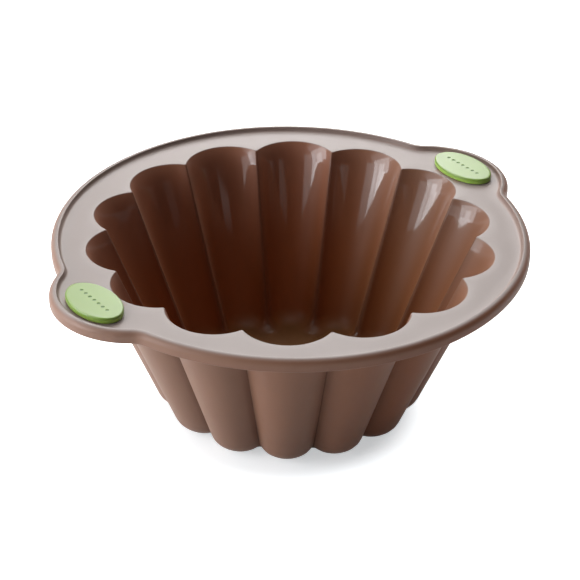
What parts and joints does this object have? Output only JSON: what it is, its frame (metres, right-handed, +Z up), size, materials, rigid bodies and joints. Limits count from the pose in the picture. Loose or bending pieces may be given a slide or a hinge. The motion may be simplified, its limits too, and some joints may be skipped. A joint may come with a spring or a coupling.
{
  "type": "charlotte mould",
  "caption": "Deep fluted silicone cake mould with a flat flange, a raised lip, wire-stiffened bead and two ears that carry oval grip buttons.",
  "frame": {"origin": "centre of the base's underside, on the cup's axis", "axes": "+Z up along the cup's axis, +X along the line through the two ears"},
  "size_m": [0.2876, 0.2568, 0.1047],
  "materials": {
    "brown_silicone": "satin outside, glossier inside the cup",
    "green_silicone": "satin",
    "steel_wire": "drawn wire"
  },
  "bodies": {
    "root": {"mould_body": "brown_silicone", "rim_wire": "steel_wire", "left_grip_button": "green_silicone", "right_grip_button": "green_silicone"}
  },
  "joints": []
}
